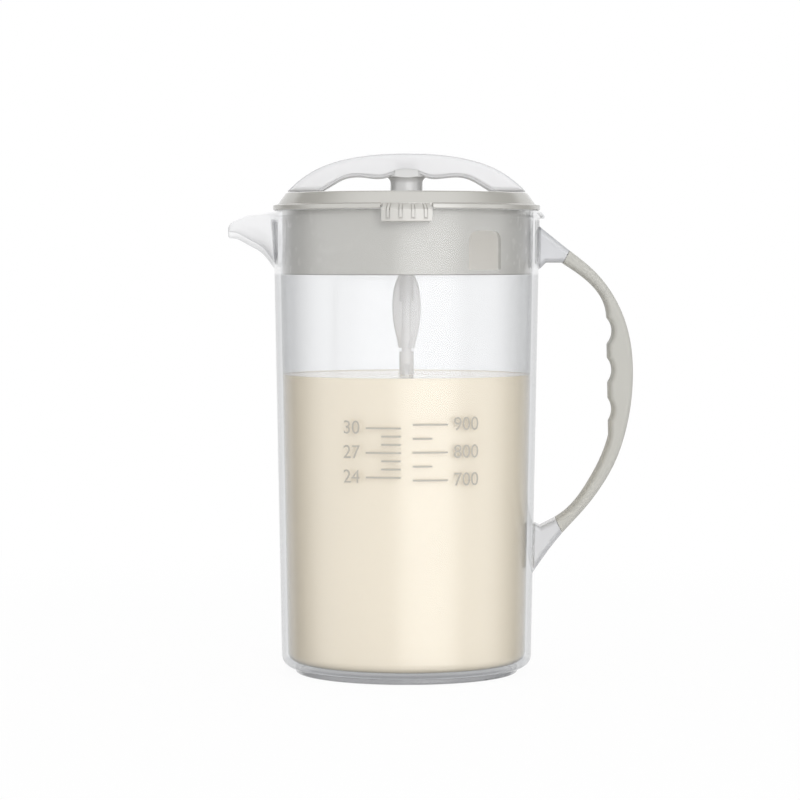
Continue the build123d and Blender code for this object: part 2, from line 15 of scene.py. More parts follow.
import bpy
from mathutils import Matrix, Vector


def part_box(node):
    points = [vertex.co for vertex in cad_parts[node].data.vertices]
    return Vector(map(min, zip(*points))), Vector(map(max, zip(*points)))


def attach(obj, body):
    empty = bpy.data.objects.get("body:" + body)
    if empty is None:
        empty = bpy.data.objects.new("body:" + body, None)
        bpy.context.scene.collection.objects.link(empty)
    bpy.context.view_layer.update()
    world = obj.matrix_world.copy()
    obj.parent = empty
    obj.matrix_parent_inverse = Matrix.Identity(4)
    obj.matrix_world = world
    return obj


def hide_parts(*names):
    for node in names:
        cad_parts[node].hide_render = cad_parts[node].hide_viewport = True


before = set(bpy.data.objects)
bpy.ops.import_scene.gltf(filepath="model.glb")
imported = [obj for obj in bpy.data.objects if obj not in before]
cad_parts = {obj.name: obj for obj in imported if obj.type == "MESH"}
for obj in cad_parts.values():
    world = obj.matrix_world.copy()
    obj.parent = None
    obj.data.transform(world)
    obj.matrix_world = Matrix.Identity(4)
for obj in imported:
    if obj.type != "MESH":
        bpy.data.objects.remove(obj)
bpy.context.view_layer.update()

LOG = logging.getLogger("pitcher")
JUG_BODY = "pitcher"  # the rigid body that the contents and the print ride on
MM = 0.001
WALL_R = 54.25 * MM  # outer radius of the jug's wall at the standing plane
WALL_TAPER = 3.6 / 200.5  # growth of the wall's radii per metre of height
Colour = tuple[float, float, float]
Point = tuple[float, float, float]
Span = tuple[float, float]
Input = Union[float, int, str, Sequence[float], "Value", bpy.types.ID]
BLACK: Colour = (0.0, 0.0, 0.0)
WHITE: Colour = (1.0, 1.0, 1.0)


class Side(Enum):
    """Side of the jug's front, as the sign of X."""

    LEFT = -1
    RIGHT = 1


def srgb(red: int, green: int, blue: int) -> Colour:
    """Turns a display colour into the linear values that shaders take.

    Args:
        red: Red, 0 to 255.
        green: Green, 0 to 255.
        blue: Blue, 0 to 255.

    Returns:
        The three linear values, 0 to 1.
    """
    parts = []
    for channel in (red, green, blue):
        share = channel / 255
        parts.append(share / 12.92 if share <= 0.04045 else ((share + 0.055) / 1.055) ** 2.4)
    return parts[0], parts[1], parts[2]


def opaque(colour: Colour, gain: float = 1.0) -> tuple[float, float, float, float]:
    """Returns a colour, made lighter or darker by gain, with full alpha."""
    return colour[0] * gain, colour[1] * gain, colour[2] * gain, 1.0


# ---- Nodes ----
class Value:
    """A socket that varies over a surface, with arithmetic that adds Math nodes."""

    def __init__(self, graph: "Graph", socket: bpy.types.NodeSocket) -> None:
        """Wraps one output socket of a graph."""
        self.graph = graph
        self.socket = socket

    def _math(self, operation: str, *operands: Input) -> "Value":
        """Adds one Math node and returns its result."""
        return self.graph.node(
            "ShaderNodeMath", {"operation": operation}, dict(enumerate(operands))
        )

    def __add__(self, other: Input) -> "Value":
        """Returns self + other."""
        return self._math("ADD", self, other)

    __radd__ = __add__

    def __sub__(self, other: Input) -> "Value":
        """Returns self - other."""
        return self._math("SUBTRACT", self, other)

    def __rsub__(self, other: Input) -> "Value":
        """Returns other - self."""
        return self._math("SUBTRACT", other, self)

    def __mul__(self, other: Input) -> "Value":
        """Returns self * other."""
        return self._math("MULTIPLY", self, other)

    __rmul__ = __mul__

    def __truediv__(self, other: Input) -> "Value":
        """Returns self / other."""
        return self._math("DIVIDE", self, other)

    def __pow__(self, other: Input) -> "Value":
        """Returns self ** other."""
        return self._math("POWER", self, other)

    def __mod__(self, other: Input) -> "Value":
        """Returns self modulo other."""
        return self._math("MODULO", self, other)

    def __abs__(self) -> "Value":
        """Returns the absolute value."""
        return self._math("ABSOLUTE", self)

    def root(self) -> "Value":
        """Returns the square root."""
        return self._math("SQRT", self)

    def sine(self) -> "Value":
        """Returns the sine of an angle in radians."""
        return self._math("SINE", self)

    def cosine(self) -> "Value":
        """Returns the cosine of an angle in radians."""
        return self._math("COSINE", self)

    def equals(self, whole: int) -> "Value":
        """Returns 1 where self, a whole number, equals another, else 0."""
        return self._math("COMPARE", self, whole, 0.5)

    def step(self, span: Span) -> "Value":
        """Returns a smooth rise from 0 where the span starts to 1 where it ends."""
        return self.graph.node(
            "ShaderNodeMapRange",
            {"interpolation_type": "SMOOTHSTEP"},
            {"Value": self, "From Min": span[0], "From Max": span[1]},
        )

    def past(self, edge: float, fade: float) -> "Value":
        """Returns a smooth rise from 0 to 1 that reaches fade to each side of an edge."""
        return self.step((edge - fade, edge + fade))

    def also(self, output: int | str) -> "Value":
        """Returns another output of the node that this one comes from."""
        return Value(self.graph, self.socket.node.outputs[output])


def radius(x: Value, y: Value) -> Value:
    """Returns the distance from the jug's axis."""
    return (x * x + y * y).root()


@dataclass(frozen=True)
class Mottle:
    """A noise pattern on object coordinates.

    Attributes:
        scale: Waves per metre.
        detail: Octaves of finer noise.
        stretch: Scale along each axis.
    """

    scale: float
    detail: float = 2.0
    stretch: Point = (1.0, 1.0, 1.0)


class Graph:
    """Makes the nodes of one material, world or geometry tree."""

    def __init__(self, tree: bpy.types.NodeTree) -> None:
        """Starts from an empty tree."""
        tree.nodes.clear()
        self.tree = tree

    def node(
        self,
        kind: str,
        settings: dict[str, str] | None = None,
        inputs: dict[int | str, Input] | None = None,
        output: int | str = 0,
    ) -> Value:
        """Adds a node.

        Args:
            kind: The node's type.
            settings: Its options, set before its sockets.
            inputs: Values or links of its sockets, by name or place.
            output: Name or place of the output that is returned.

        Returns:
            The chosen output, or the first input of a node that has no output.
        """
        made = self.tree.nodes.new(kind)
        for option, choice in (settings or {}).items():
            setattr(made, option, choice)
        for socket, given in (inputs or {}).items():
            if isinstance(given, Value):
                self.tree.links.new(given.socket, made.inputs[socket])
            else:
                made.inputs[socket].default_value = given
        has_output = len(made.outputs) > 0
        return Value(self, made.outputs[output] if has_output else made.inputs[0])

    def place(self) -> Value:
        """Returns object coordinates."""
        return self.node("ShaderNodeTexCoord", output="Object")

    def axes(self, vector: Value | None = None) -> tuple[Value, Value, Value]:
        """Splits a vector, or the object coordinates, into its x, y and z."""
        x = self.node("ShaderNodeSeparateXYZ", inputs={0: vector or self.place()})
        return x, x.also(1), x.also(2)

    def noise(self, pattern: Mottle) -> Value:
        """Adds a noise pattern.

        Args:
            pattern: Its scale, detail and stretch.

        Returns:
            The noise, about 0 to 1.
        """
        where = self.node(
            "ShaderNodeMapping", inputs={"Vector": self.place(), "Scale": pattern.stretch}
        )
        inputs = {"Vector": where, "Scale": pattern.scale, "Detail": pattern.detail}
        return self.node("ShaderNodeTexNoise", inputs=inputs)

    def blend(self, share: Input, first: Input, second: Input) -> Value:
        """Mixes two colours by share."""
        return self.node(
            "ShaderNodeMix", {"data_type": "RGBA"}, {0: share, 6: first, 7: second}, output=2
        )

    def tinted(self, share: Input, colour: Colour, gains: Span) -> Value:
        """Returns a colour whose brightness goes from one gain to the other by share."""
        return self.blend(share, opaque(colour, gains[0]), opaque(colour, gains[1]))

    def bump(self, height: Value, depth: float, under: Value | None = None) -> Value:
        """Turns a height of 0 to 1 into a normal.

        Args:
            height: Relief, 0 to 1.
            depth: What a height of 1 stands for, in metres.
            under: Another bump that this one is laid on.

        Returns:
            The normal.
        """
        inputs = {"Height": height, "Distance": depth, "Strength": 1.0}
        if under is not None:
            inputs["Normal"] = under
        return self.node("ShaderNodeBump", inputs=inputs)

    def facing(self) -> Value:
        """Returns 0 where a surface faces the ray and 1 where it is edge on."""
        return self.node("ShaderNodeLayerWeight", inputs={"Blend": 0.5}, output="Facing")

    def mix(self, share: Input, first: Value, second: Value) -> Value:
        """Mixes two shaders by share."""
        return self.node("ShaderNodeMixShader", inputs={0: share, 1: first, 2: second})

    def surface(self, **inputs: Input) -> Value:
        """Adds the main surface shader, with an underscore for each space in a name."""
        named = {name.replace("_", " "): given for name, given in inputs.items()}
        return self.node("ShaderNodeBsdfPrincipled", inputs=named)


# ---- Finishes ----
@dataclass(frozen=True)
class Finish:
    """A named surface finish.

    Attributes:
        name: The material's name.
    """

    name: str

    def shader(self, graph: Graph) -> Value:
        """Builds the finish and returns its shader."""
        raise NotImplementedError

    def material(self) -> bpy.types.Material:
        """Makes the finish's material on first use.

        Returns:
            The material.
        """
        material = bpy.data.materials.get(self.name)
        if material is None:
            material = bpy.data.materials.new(self.name)
            material.use_nodes = True
            graph = Graph(material.node_tree)
            graph.node("ShaderNodeOutputMaterial", inputs={"Surface": self.shader(graph)})
        return material

    def dress(self, thing: bpy.types.Object) -> bpy.types.Object:
        """Gives an object this finish in every material slot.

        Args:
            thing: The object.

        Returns:
            The same object.
        """
        if not thing.material_slots:
            thing.data.materials.append(self.material())
        for slot in thing.material_slots:
            slot.material = self.material()
        return thing


@dataclass(frozen=True)
class MouldedPlastic(Finish):
    """Polished or satin moulding with faint flow marks and orange peel.

    Attributes:
        colour: Linear base colour.
        roughness: Mean roughness.
        ior: Refractive index, which sets how strongly it mirrors.
        alpha: Below 1 for a moulding that light passes through.
        swirl: Change of tone by flow marks, as a share.
        scuff: Range of the roughness.
        painted_shading_gain: Brightness of the place with painted light or shade, as a share.
        peel: Height of the orange peel.
        flow_marks: Pattern of the flow marks.
        scuff_marks: Pattern of the roughness.
        dimples: Pattern of the orange peel.
    """

    colour: Colour
    roughness: float = 0.25
    ior: float = 1.5
    alpha: float = 1.0
    swirl: float = 0.02
    scuff: float = 0.12
    painted_shading_gain: float = 1.0
    peel: float = 0.012 * MM
    flow_marks: Mottle = Mottle(14, 3, (1.0, 1.0, 0.35))
    scuff_marks: Mottle = Mottle(260, 4)
    dimples: Mottle = Mottle(420, 1)

    def painted_shading_mask(self, graph: Graph) -> Value | None:
        """Returns 1 where light or shade is painted, which plain plastic lacks."""
        return None

    def tone(self, graph: Graph) -> Value:
        """Builds the flow marks, and the painted light or shade.

        Args:
            graph: The material's graph.

        Returns:
            The colour.
        """
        gains = (1 - self.swirl, 1 + self.swirl)
        flow = graph.tinted(graph.noise(self.flow_marks), self.colour, gains)
        # painted light or shade: a lighter or darker copy of the colour where the mask is 1
        painted_shading = self.painted_shading_mask(graph)
        return graph.blend(painted_shading, flow, opaque(self.colour, self.painted_shading_gain)) if painted_shading else flow

    def extras(self, graph: Graph) -> dict[str, Input]:
        """Returns further inputs of the shader, none for plain plastic."""
        return {}

    def shader(self, graph: Graph) -> Value:
        """Builds tone, gloss and relief from three patterns.

        Args:
            graph: The material's graph.

        Returns:
            The shader.
        """
        scuffs = graph.noise(self.scuff_marks)
        dimples = graph.noise(self.dimples)
        return graph.surface(
            Base_Color=self.tone(graph),
            Roughness=self.roughness + (scuffs - 0.5) * self.scuff,
            IOR=self.ior,
            Alpha=self.alpha,
            Normal=graph.bump(dimples, self.peel),
            **self.extras(graph),
        )


@dataclass(frozen=True)
class CollarPlastic(MouldedPlastic):
    """Moulded plastic of the thin collar, with painted light glowing from its inside and painted
    shade along its lower edge.

    Attributes:
        inner_r: Radius inside which a face belongs to the inside.
        inner_fade: Width over which the inside's mask fades.
        glow: Painted light that the inside gives off, standing in for light that reaches it.
        painted_shade_z: Height below which painted shade darkens the sharp lower edge.
        painted_shade_fade: Height over which that fades.
        painted_shading_gain: Brightness of the painted shade on the lower edge, as a share.
        sheen: Lightening where the surface turns away.
    """

    inner_r: float = 0.0
    inner_fade: float = 0.4 * MM
    glow: Colour = BLACK
    painted_shade_z: float = 0.0
    painted_shade_fade: float = 0.1 * MM
    painted_shading_gain: float = 0.5
    sheen: float = 1.0

    def inside(self, graph: Graph) -> Value:
        """Returns 1 on the inside and 0 on the outside."""
        x, y, _ = graph.axes()
        return 1 - radius(x, y).step((self.inner_r, self.inner_r + self.inner_fade))

    def painted_shading_mask(self, graph: Graph) -> Value:
        """Returns 1 where shade is painted along the outside's lower edge, and 0 elsewhere."""
        low = 1 - graph.axes()[2].step((self.painted_shade_z - self.painted_shade_fade, self.painted_shade_z))
        return low * (1 - self.inside(graph))

    def extras(self, graph: Graph) -> dict[str, Input]:
        """Returns the sheen and the painted inner light, an emission."""
        # painted light: the inside glows with this colour, though it is no lamp
        glow = graph.blend(self.inside(graph), opaque(BLACK), opaque(self.glow))
        return {"Sheen_Weight": self.sheen, "Emission_Color": glow, "Emission_Strength": 1.0}


@dataclass(frozen=True)
class TabPlastic(MouldedPlastic):
    """Moulded plastic of the latch tab, with painted light making it paler above its bend.

    Attributes:
        bend_z: Height of the bend.
        fade: How far the paleness fades above and below the bend.
        painted_shading_gain: Brightness of the painted light above the bend, as a share.
    """

    bend_z: float = 0.0
    fade: float = 0.2 * MM
    painted_shading_gain: float = 1.3

    def painted_shading_mask(self, graph: Graph) -> Value:
        """Returns 1 above the bend, where light is painted, and 0 below it."""
        return graph.axes()[2].past(self.bend_z, self.fade)


@dataclass(frozen=True)
class ArchPlastic(MouldedPlastic):
    """Moulded plastic of the arch, with painted shade on a band along its underside.

    Attributes:
        lip_y: Distance of the band's face from the middle plane.
        lip_fade: How far from there the band starts to fade, and ends.
        painted_shading_gain: Brightness of the painted shade on the band, as a share.
    """

    lip_y: float = 7.7 * MM
    lip_fade: Span = (0.08 * MM, 0.2 * MM)
    painted_shading_gain: float = 0.72

    def painted_shading_mask(self, graph: Graph) -> Value:
        """Returns 1 on the band, where shade is painted, and 0 elsewhere."""
        return 1 - abs(abs(graph.axes()[1]) - self.lip_y).step(self.lip_fade)


@dataclass(frozen=True)
class ClearPlastic(Finish):
    """Clear moulding: light passes unbent, edges darken, thick parts look cloudy or dark.

    A root is where the handle joins the wall, and its joint is the dark line between.

    Attributes:
        window: What one surface of the wall lets through, seen head on.
        edge: The same, seen edge on.
        painted_light_brim: The same round the collar, raised as painted light on the collar's
            sides.
        thick: What one surface of the thick floor lets through.
        deep: What one surface of the foot ring lets through, or the spout edge on.
        spout: What one surface of the spout lets through, seen head on.
        cloud: Linear colour of the cloudiness.
        shade: Linear colour of a root's joint.
        spout_haze: Cloudiness of the spout.
        handle_haze: Cloudiness of the handle's roots.
        joint_haze: Cloudiness of a root's joint.
        flow_haze: Cloudiness that the flow marks add.
        outer: How far outside the wall a root or the spout starts, and is whole.
        root_y: Half widths at which a root or the spout starts to fade, and ends.
        middle_x: Where the spout's side ends and the handle's begins.
        joint_x: Where a joint begins, from the axis.
        joint_w: Width of a joint at its lower and at its upper end.
        joint_z: Lower and upper end of a joint.
        joint_fade: How far a joint fades at its inner and at its outer side.
        end_fade: How far a joint fades at its ends.
        brim_z: Heights between which the wall comes to the collar.
        floor_z: Heights between which the thick floor gives way to the wall.
        sole_z: Heights between which the foot ring gives way to the floor.
        wall_power: How suddenly the wall darkens towards its edges.
        spout_power: How suddenly the spout does.
        mirror_power: How suddenly the mirroring grows towards the edges.
        mirror_edge: Share that one surface mirrors, seen edge on.
        gloss: Share that it mirrors, seen head on.
        roughness: Roughness of the mirror.
        haze_roughness: Roughness of the cloudy parts.
        wave: Height of the surface's waves.
        waves: Pattern of the waves.
        flow_marks: Pattern of the flow marks.
    """

    window: Colour = (0.95, 0.952, 0.955)
    edge: Colour = (0.50, 0.508, 0.518)
    painted_light_brim: Colour = (0.86, 0.862, 0.865)
    thick: Colour = (0.70, 0.708, 0.72)
    deep: Colour = (0.58, 0.583, 0.59)
    spout: Colour = (0.99, 0.99, 0.992)
    cloud: Colour = srgb(198, 199, 202)
    shade: Colour = srgb(138, 139, 142)
    spout_haze: float = 0.05
    handle_haze: float = 0.85
    joint_haze: float = 0.6
    flow_haze: float = 0.01
    outer: Span = (0.3 * MM, 1.2 * MM)
    root_y: Span = (12.0 * MM, 14.0 * MM)
    middle_x: Span = (-1.0 * MM, 1.0 * MM)
    joint_x: float = 56.3 * MM
    joint_w: Span = (0.7 * MM, 2.1 * MM)
    joint_z: Span = (177.5 * MM, 196.5 * MM)
    joint_fade: Span = (0.2 * MM, 0.3 * MM)
    end_fade: float = 1.0 * MM
    brim_z: Span = (172.0 * MM, 174.0 * MM)
    floor_z: Span = (3.8 * MM, 5.2 * MM)
    sole_z: Span = (1.8 * MM, 2.8 * MM)
    wall_power: float = 4.0
    spout_power: float = 3.0
    mirror_power: float = 5.0
    mirror_edge: float = 0.9
    gloss: float = 0.015
    roughness: float = 0.08
    haze_roughness: float = 0.2
    wave: float = 0.02 * MM
    waves: Mottle = Mottle(90, 2, (1.0, 1.0, 0.4))
    flow_marks: Mottle = Mottle(22, 3, (1.0, 1.0, 0.3))

    def joint(self, x: Value, y: Value, z: Value) -> Value:
        """Finds the joints of the roots.

        Args:
            x: Place along X.
            y: Place along Y.
            z: Height.

        Returns:
            1 in a joint and 0 elsewhere.
        """
        low, high = self.joint_z
        narrow, wide = self.joint_w
        inner, outer = self.joint_fade
        out = abs(x) - self.joint_x
        width = narrow + (z - low) * ((wide - narrow) / (high - low))
        across = out.past(0.0, inner) * (1 - (out - width).past(0.0, outer))
        along = z.past(low, self.end_fade) * (1 - z.past(high, self.end_fade))
        return across * (1 - abs(y).step(self.root_y)) * along

    def see_through(self, graph: Graph, facing: Value, z: Value, beak: Value) -> Value:
        """Builds what shows through the plastic.

        Args:
            graph: The material's graph.
            facing: 0 seen head on, 1 seen edge on.
            z: Height.
            beak: 1 on the spout and 0 elsewhere.

        Returns:
            The shader.
        """
        window, edge, painted_light_brim, thick, deep, spout = (
            graph.node("ShaderNodeBsdfTransparent", inputs={"Color": opaque(colour)})
            for colour in (self.window, self.edge, self.painted_light_brim, self.thick, self.deep, self.spout)
        )
        # painted light: round the collar the edges let more through, lightening the collar's
        # sides
        edge = graph.mix(z.step(self.brim_z), edge, painted_light_brim)
        seen = graph.mix(facing**self.wall_power, window, edge)
        seen = graph.mix(1 - z.step(self.floor_z), seen, thick)
        seen = graph.mix(1 - z.step(self.sole_z), seen, deep)
        return graph.mix(beak, seen, graph.mix(facing**self.spout_power, spout, deep))

    def shader(self, graph: Graph) -> Value:
        """Builds the see-through, the mirror and the haze.

        Args:
            graph: The material's graph.

        Returns:
            The shader.
        """
        facing = graph.facing()
        x, y, z = graph.axes()
        past_wall = radius(x, y) - z * WALL_TAPER
        outside = past_wall.step((WALL_R + self.outer[0], WALL_R + self.outer[1]))
        outside = outside * (1 - abs(y).step(self.root_y))
        handle = x.step(self.middle_x)
        joint = self.joint(x, y, z)
        relief = graph.bump(graph.noise(self.waves), self.wave)
        mirror = graph.node(
            "ShaderNodeBsdfGlossy",
            inputs={"Color": opaque(WHITE), "Roughness": self.roughness, "Normal": relief},
        )
        mirrored = facing**self.mirror_power * self.mirror_edge + self.gloss
        seen = self.see_through(graph, facing, z, outside * (1 - handle))
        cloudy = graph.surface(
            Base_Color=graph.blend(joint, opaque(self.cloud), opaque(self.shade)),
            Roughness=self.haze_roughness,
            Normal=relief,
        )
        root_haze = self.spout_haze + handle * (self.handle_haze - self.spout_haze)
        haze = graph.noise(self.flow_marks) * self.flow_haze
        haze = haze + outside * root_haze + joint * self.joint_haze
        return graph.mix(haze, graph.mix(mirrored, seen, mirror), cloudy)


@dataclass(frozen=True)
class SoftGrip(Finish):
    """Matte rubbery overmould with a fine grain and a mould line round its rim.

    Attributes:
        colour: Linear base colour.
        tones: Brightness of its darkest and lightest patches, as shares.
        roughness: Least roughness.
        wear: How much rougher the patches are.
        grain: Height of the grain.
        seam: Height of the mould line.
        seam_y: Distances from the middle plane between which the mould line fades.
        seam_share: How strongly its own tone shows.
        seam_shade: Brightness of its own tone, as a share.
        grains: Pattern of the grain.
        patches: Pattern of the patches.
    """

    colour: Colour = srgb(182, 181, 175)
    tones: Span = (0.96, 1.04)
    roughness: float = 0.52
    wear: float = 0.12
    grain: float = 0.03 * MM
    seam: float = 0.09 * MM
    seam_y: Span = (0.08 * MM, 0.3 * MM)
    seam_share: float = 0.25
    seam_shade: float = 0.8
    grains: Mottle = Mottle(1900)
    patches: Mottle = Mottle(45, 4)

    def shader(self, graph: Graph) -> Value:
        """Builds a mottled tone, a grain and the mould line.

        Args:
            graph: The material's graph.

        Returns:
            The shader.
        """
        _, y, _ = graph.axes()
        line = 1 - abs(y).step(self.seam_y)
        grains = graph.noise(self.grains)
        patches = graph.noise(self.patches)
        tone = graph.tinted(patches, self.colour, self.tones)
        shaded = opaque(self.colour, self.seam_shade)
        return graph.surface(
            Base_Color=graph.blend(line * self.seam_share, tone, shaded),
            Roughness=self.roughness + patches * self.wear,
            Normal=graph.bump(line, self.seam, graph.bump(grains, self.grain)),
        )


@dataclass(frozen=True)
class Formula(Finish):
    """Creamy liquid with faint clouds and a still surface.

    Attributes:
        colour: Linear base colour.
        tones: Brightness of its darkest and lightest clouds, as shares.
        ior: Refractive index.
        roughness: Least roughness against the wall.
        cloudiness: How much rougher the clouds are.
        stillness: How much smoother the surface is.
        surface_z: Height of the surface.
        skin: Depths below it between which the surface begins.
        ripple: Height of the ripples.
        clouds: Pattern of the clouds.
        ripples: Pattern of the ripples.
    """

    colour: Colour = srgb(254, 243, 222)
    tones: Span = (0.975, 1.015)
    ior: float = 1.35
    roughness: float = 0.2
    cloudiness: float = 0.08
    stillness: float = 0.15
    surface_z: float = 0.0
    skin: Span = (0.2 * MM, 0.05 * MM)
    ripple: float = 0.03 * MM
    clouds: Mottle = Mottle(16, 3, (1.0, 1.0, 0.5))
    ripples: Mottle = Mottle(120)

    def shader(self, graph: Graph) -> Value:
        """Builds slow clouds of tone under a wet surface.

        Args:
            graph: The material's graph.

        Returns:
            The shader.
        """
        clouds = graph.noise(self.clouds)
        ripples = graph.noise(self.ripples)
        _, _, z = graph.axes()
        still = z.step((self.surface_z - self.skin[0], self.surface_z - self.skin[1]))
        return graph.surface(
            Base_Color=graph.tinted(clouds, self.colour, self.tones),
            Roughness=self.roughness + clouds * self.cloudiness - still * self.stillness,
            IOR=self.ior,
            Normal=graph.bump(ripples, self.ripple),
        )


@dataclass(frozen=True)
class Silicone(Finish):
    """Translucent white sealing rubber with a dusty surface.

    Attributes:
        colour: Linear base colour.
        tones: Brightness without and with dust, as shares.
        roughness: Least roughness.
        dusting: How much rougher the dust is.
        dust: Height of the dust.
        specks: Pattern of the dust.
    """

    colour: Colour = srgb(226, 226, 224)
    tones: Span = (0.94, 1.03)
    roughness: float = 0.45
    dusting: float = 0.15
    dust: float = 0.01 * MM
    specks: Mottle = Mottle(700, 3)

    def shader(self, graph: Graph) -> Value:
        """Builds a milky tone with a little dust.

        Args:
            graph: The material's graph.

        Returns:
            The shader.
        """
        specks = graph.noise(self.specks)
        return graph.surface(
            Base_Color=graph.tinted(specks, self.colour, self.tones),
            Roughness=self.roughness + specks * self.dusting,
            Normal=graph.bump(specks, self.dust),
        )


@dataclass(frozen=True)
class Ink(Finish):
    """Screen-printed ink, a little uneven where the mesh laid it down.

    Attributes:
        colour: Linear base colour.
        tones: Brightness of its thick and thin specks, as shares.
        roughness: Its roughness.
        specks: Pattern of the specks.
    """

    colour: Colour = srgb(178, 172, 162)
    tones: Span = (0.93, 1.05)
    roughness: float = 0.5
    specks: Mottle = Mottle(3200)

    def shader(self, graph: Graph) -> Value:
        """Builds a speckled print."""
        tone = graph.tinted(graph.noise(self.specks), self.colour, self.tones)
        return graph.surface(Base_Color=tone, Roughness=self.roughness)


CLEAR = ClearPlastic("clear_plastic_finish")
GRIP = SoftGrip("soft_grip_finish")
FORMULA = Formula("formula_finish", surface_z=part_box("formula_fill")[1].z)
SEAL = Silicone("silicone_finish")
INK = Ink("ink_finish")
GRAY = MouldedPlastic("gray_plastic_finish", srgb(176, 174, 168), roughness=0.14, ior=1.75)
TAB = TabPlastic(
    "tab_plastic_finish",
    srgb(176, 174, 169),
    roughness=0.3,
    ior=1.75,
    # painted light: the tab is paler above this bend
    bend_z=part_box("latch_tab")[1].z - 2.5 * MM,
)
COLLAR = CollarPlastic(
    "collar_plastic_finish",
    srgb(194, 192, 186),
    roughness=0.26,
    ior=1.45,
    inner_r=52.0 * MM,
    # painted light: the colour that the collar's inside glows with
    glow=(0.29, 0.282, 0.27),
    # painted shade on the collar's lower edge below this height
    painted_shade_z=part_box("stopper_collar")[0].z + 0.45 * MM,
)
# painted shade on the band under the arch comes with this finish
FROSTED = ArchPlastic(
    "frosted_plastic_finish", srgb(236, 236, 238), roughness=0.34, alpha=0.72, peel=0.02 * MM
)
POST = MouldedPlastic(
    "post_plastic_finish", srgb(204, 204, 204), roughness=0.12, ior=1.62, alpha=0.85
)
PADDLE = MouldedPlastic(
    "paddle_plastic_finish", srgb(236, 236, 238), roughness=0.25, alpha=0.72
)


# ---- Meshes ----
def linked(name: str, data: bpy.types.ID) -> bpy.types.Object:
    """Makes an object of some data in the scene.

    Args:
        name: The object's name.
        data: Its mesh, curve, lamp or camera.

    Returns:
        The object, at the origin.
    """
    made = bpy.data.objects.new(name, data)
    bpy.context.scene.collection.objects.link(made)
    return made


def mesh_object(
    name: str, vertices: Iterable[Point], faces: Iterable[Sequence[int]]
) -> bpy.types.Object:
    """Makes a smooth-shaded mesh object.

    Args:
        name: The object's name.
        vertices: Its points.
        faces: Its faces, as places in the list of points.

    Returns:
        The object.
    """
    mesh = bpy.data.meshes.new(name)
    mesh.from_pydata(list(vertices), [], list(faces))
    mesh.validate()
    mesh.shade_smooth()
    return linked(name, mesh)


def lathe(name: str, outline: Sequence[Span], steps: int) -> bpy.types.Object:
    """Turns an outline about Z into a closed mesh.

    Args:
        name: The object's name.
        outline: (radius, height) points from the axis, outside and back to it.
        steps: Points round each ring.

    Returns:
        The turned object.
    """
    vertices: list[Point] = []
    rings: list[list[int]] = []
    for reach, height in outline:
        count = steps if reach > 0 else 1
        rings.append(list(range(len(vertices), len(vertices) + count)))
        for index in range(count):
            turn = math.tau * index / steps
            vertices.append((reach * math.cos(turn), reach * math.sin(turn), height))
    faces: list[tuple[int, ...]] = []
    for low, high in zip(rings, rings[1:]):
        for index in range(steps):
            after = (index + 1) % steps
            if len(low) == 1:
                faces.append((low[0], high[after], high[index]))
            elif len(high) == 1:
                faces.append((low[index], low[after], high[0]))
            else:
                faces.append((low[index], low[after], high[after], high[index]))
    return mesh_object(name, vertices, faces)


def baked(source: bpy.types.Object, name: str) -> bpy.types.Object:
    """Turns an object's evaluated shape into a plain mesh object.

    Args:
        source: The object with live modifiers or a curve.  It is removed.
        name: The plain object's name.

    Returns:
        The plain mesh object.
    """
    bpy.context.view_layer.update()
    depsgraph = bpy.context.evaluated_depsgraph_get()
    mesh = bpy.data.meshes.new_from_object(source.evaluated_get(depsgraph), depsgraph=depsgraph)
    bpy.data.objects.remove(source)
    mesh.name = name
    return linked(name, mesh)


def shaped_by(tree: bpy.types.NodeTree, name: str, values: dict[str, Input]) -> bpy.types.Object:
    """Runs a geometry tree once and keeps its result as a mesh.

    Args:
        tree: The geometry tree.
        name: The object's name.
        values: The tree's inputs by name.

    Returns:
        The mesh object.
    """
    carrier = linked(name + "_source", bpy.data.meshes.new(name + "_source"))
    modifier = carrier.modifiers.new("shape", "NODES")
    modifier.node_group = tree
    for item in tree.interface.items_tree:
        if item.in_out == "INPUT" and item.name in values:
            modifier[item.identifier] = values[item.name]
    return baked(carrier, name)


# ---- Sub-assemblies ----
@dataclass
class Dressed:
    """A sub-assembly whose nodes keep their meshes and are given finishes.

    Attributes:
        finishes: The finish of each node.
    """

    finishes: dict[str, Finish]

    def build(self) -> list[bpy.types.Object]:
        """Dresses the nodes and returns them."""
        return [finish.dress(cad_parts[name]) for name, finish in self.finishes.items()]


@dataclass
class Jug(Dressed):
    """Clear jug with its soft grip."""

    finishes: dict[str, Finish] = field(
        default_factory=lambda: {"pitcher_body": CLEAR, "handle_grip": GRIP}
    )


@dataclass
class Lid(Dressed):
    """Cap, stopper collar, latch tab and the two seals."""

    finishes: dict[str, Finish] = field(
        default_factory=lambda: {
            "lid_cap": GRAY,
            "latch_tab": TAB,
            "stopper_collar": COLLAR,
            "lid_seal": SEAL,
            "post_seal": SEAL,
        }
    )


@dataclass
class Mixer(Dressed):
    """Arch that is turned by hand, its post and the mixing paddle."""

    finishes: dict[str, Finish] = field(
        default_factory=lambda: {
            "lid_handle": FROSTED,
            "drive_post": POST,
            "mixing_paddle": PADDLE,
        }
    )


@dataclass(frozen=True)
class Column:
    """Ticks and numbers of one unit.

    Attributes:
        side: Its side of the jug's front.
        first: Height of the lowest tick.
        spacing: From tick to tick.
        count: Ticks in all.
        per_number: Ticks from one number to the next.
        numbers: The numbers, from below.
    """

    side: Side
    first: float
    spacing: float
    count: int
    per_number: int
    numbers: tuple[str, ...]


